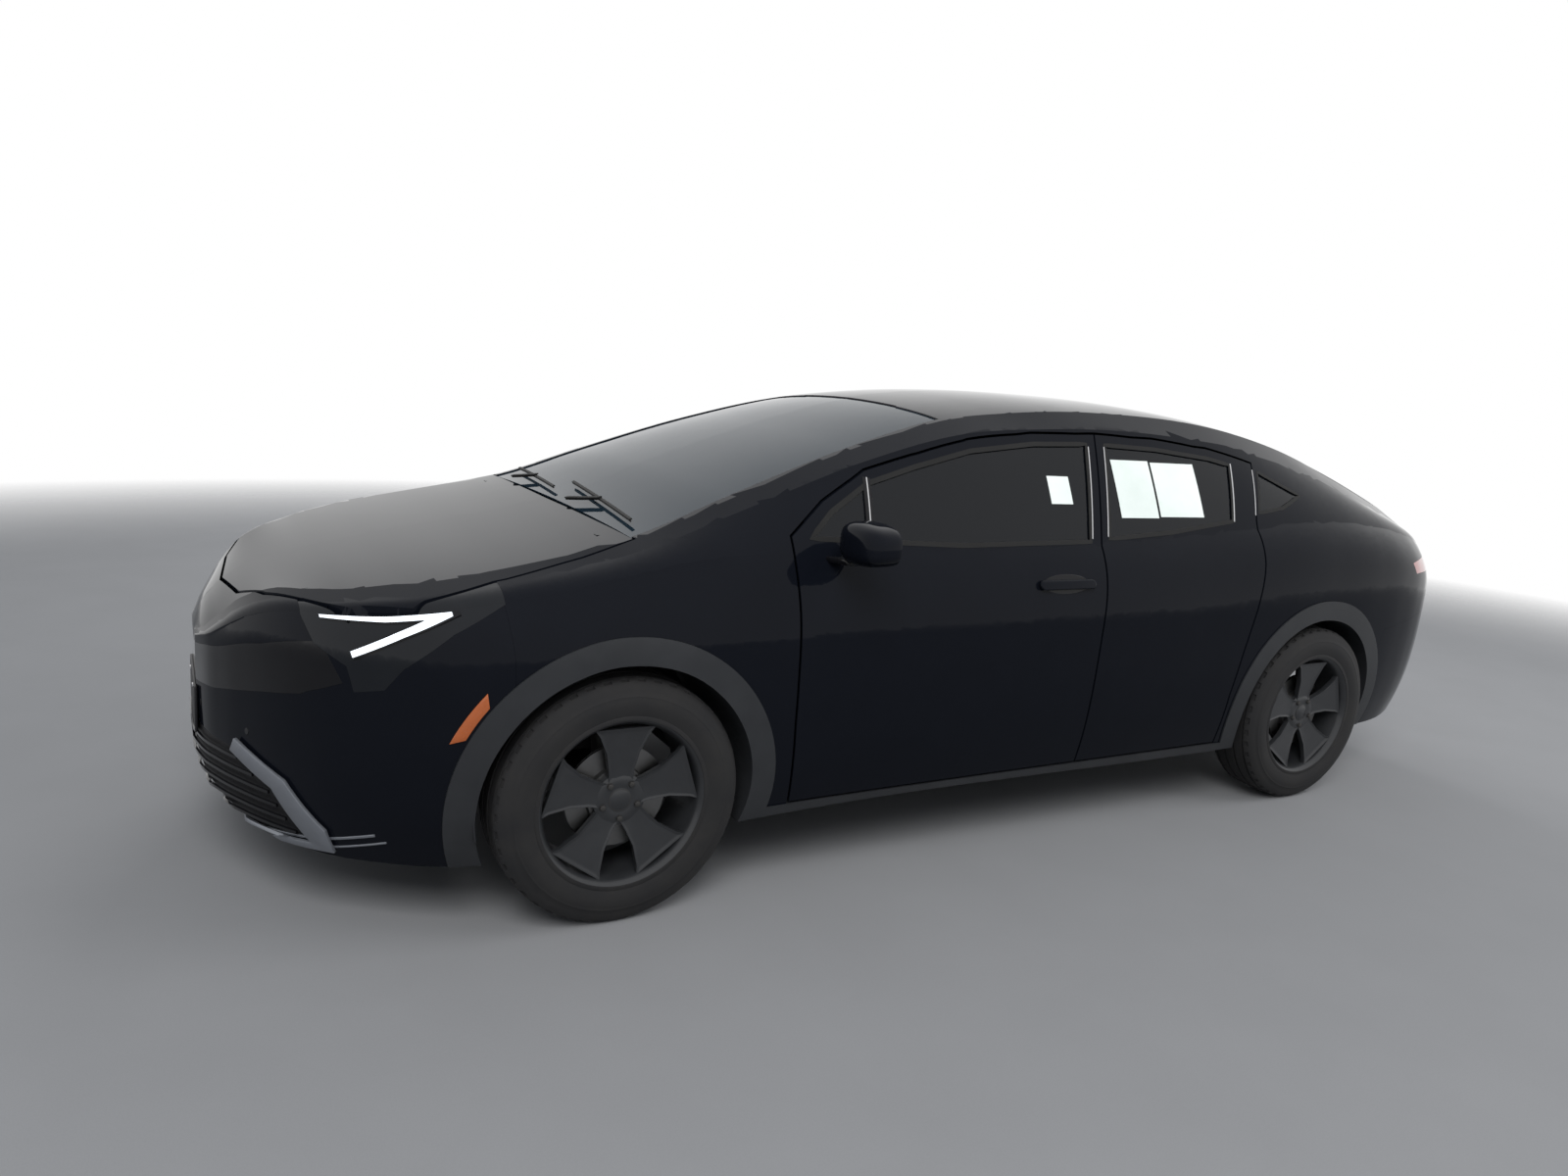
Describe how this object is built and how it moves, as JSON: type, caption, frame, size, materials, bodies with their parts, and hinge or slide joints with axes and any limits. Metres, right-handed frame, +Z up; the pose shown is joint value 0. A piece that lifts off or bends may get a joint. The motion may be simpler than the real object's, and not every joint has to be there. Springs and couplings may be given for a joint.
{
  "type": "five door hybrid hatchback car",
  "caption": "Low five-door hatchback car with opening doors, bonnet and tailgate, steered front wheels and a hollow cabin.",
  "frame": {"origin": "on the ground at the centre of the car's length and width", "axes": "+X forward, +Y to the car's left, +Z up"},
  "size_m": [4.6, 2.11, 1.4299],
  "materials": {
    "paint": "gloss",
    "glass": "gloss",
    "gloss_black": "gloss",
    "cladding": "satin",
    "grille": "matte",
    "lamp": "gloss",
    "tail_lamp": "gloss",
    "tyre": "matte",
    "wheel": "gloss",
    "iron": "matte",
    "steel": "matte",
    "floor": "matte",
    "fabric": "matte",
    "trim": "matte"
  },
  "bodies": {
    "body": {"body_side_left": "paint", "body_side_right": "paint", "quarter_glass": "glass", "front_fender_left": "paint", "front_fender_right": "paint", "headlamp_left": "lamp", "headlamp_right": "lamp", "nose_band": "gloss_black", "nose_panel": "paint", "front_bumper": "paint", "lower_grille": "grille", "roof": "paint", "windscreen": "glass", "rear_bumper": "paint", "tail_lamp_left": "tail_lamp", "tail_lamp_right": "tail_lamp", "arch_trim_left": "cladding", "arch_trim_right": "cladding", "floor_pan": "floor", "bulkhead": "floor", "engine": "iron", "dashboard": "trim", "front_seats": "fabric", "rear_seat": "fabric", "front_axle": "steel", "rear_axle": "steel"},
    "front_door_left_body": {"front_door_left": "paint", "front_door_glass_left": "glass", "mirror_left": "gloss_black"},
    "front_door_right_body": {"front_door_right": "paint", "front_door_glass_right": "glass", "mirror_right": "gloss_black"},
    "rear_door_left_body": {"rear_door_left": "paint", "rear_door_glass_left": "glass"},
    "rear_door_right_body": {"rear_door_right": "paint", "rear_door_glass_right": "glass"},
    "bonnet_body": {"bonnet": "paint"},
    "tailgate_body": {"tailgate": "paint", "tailgate_glass": "glass"},
    "knuckle_left_body": {"knuckle_left": "steel"},
    "knuckle_right_body": {"knuckle_right": "steel"},
    "front_wheel_left_body": {"front_wheel_left": "wheel", "front_tyre_left": "tyre"},
    "front_wheel_right_body": {"front_wheel_right": "wheel", "front_tyre_right": "tyre"},
    "rear_wheel_left_body": {"rear_wheel_left": "wheel", "rear_tyre_left": "tyre"},
    "rear_wheel_right_body": {"rear_wheel_right": "wheel", "rear_tyre_right": "tyre"},
    "steering_wheel_body": {"steering_wheel": "trim"}
  },
  "joints": [
    {"name": "front_door_left_hinge", "type": "hinge", "parent": "body", "child": "front_door_left_body", "pos_m": [0.838, 0.8685, 0.65], "axis": [0, 0, -1], "range_deg": [0, 68]},
    {"name": "front_door_right_hinge", "type": "hinge", "parent": "body", "child": "front_door_right_body", "pos_m": [0.838, -0.8685, 0.65], "axis": [0, 0, 1], "range_deg": [0, 68]},
    {"name": "rear_door_left_hinge", "type": "hinge", "parent": "body", "child": "rear_door_left_body", "pos_m": [-0.292, 0.86398, 0.65], "axis": [0, 0, -1], "range_deg": [0, 68]},
    {"name": "rear_door_right_hinge", "type": "hinge", "parent": "body", "child": "rear_door_right_body", "pos_m": [-0.292, -0.86398, 0.65], "axis": [0, 0, 1], "range_deg": [0, 68]},
    {"name": "bonnet_hinge", "type": "hinge", "parent": "body", "child": "bonnet_body", "pos_m": [1.345, 0, 0.97223], "axis": [0, -1, 0], "range_deg": [0, 50]},
    {"name": "tailgate_hinge", "type": "hinge", "parent": "body", "child": "tailgate_body", "pos_m": [-1.232, 0, 1.35533], "axis": [0, 1, 0], "range_deg": [0, 75]},
    {"name": "steering_left", "type": "hinge", "parent": "body", "child": "knuckle_left_body", "pos_m": [1.36, 0.735, 0.203], "axis": [-0.0161, -0.2738, 0.9616], "range_deg": [-36, 36]},
    {"name": "steering_right", "type": "hinge", "parent": "body", "child": "knuckle_right_body", "pos_m": [1.36, -0.735, 0.203], "axis": [-0.0161, 0.2738, 0.9616], "range_deg": [-36, 36]},
    {"name": "steering_wheel_turn", "type": "hinge", "parent": "body", "child": "steering_wheel_body", "pos_m": [0.56, 0.37, 0.86], "axis": [0.9062, 0, -0.4229], "range_deg": [-504, 504]},
    {"name": "front_wheel_left_spin", "type": "hinge", "parent": "knuckle_left_body", "child": "front_wheel_left_body", "pos_m": [1.36, 0.785, 0.333], "axis": [0, 1, 0], "continuous": true},
    {"name": "front_wheel_right_spin", "type": "hinge", "parent": "knuckle_right_body", "child": "front_wheel_right_body", "pos_m": [1.36, -0.785, 0.333], "axis": [0, 1, 0], "continuous": true},
    {"name": "rear_wheel_left_spin", "type": "hinge", "parent": "body", "child": "rear_wheel_left_body", "pos_m": [-1.39, 0.79, 0.333], "axis": [0, 1, 0], "continuous": true},
    {"name": "rear_wheel_right_spin", "type": "hinge", "parent": "body", "child": "rear_wheel_right_body", "pos_m": [-1.39, -0.79, 0.333], "axis": [0, 1, 0], "continuous": true}
  ],
  "couplings": [
    {"joint": "steering_right", "follows": "steering_left", "ratio": 1},
    {"joint": "steering_wheel_turn", "follows": "steering_left", "ratio": -14}
  ]
}
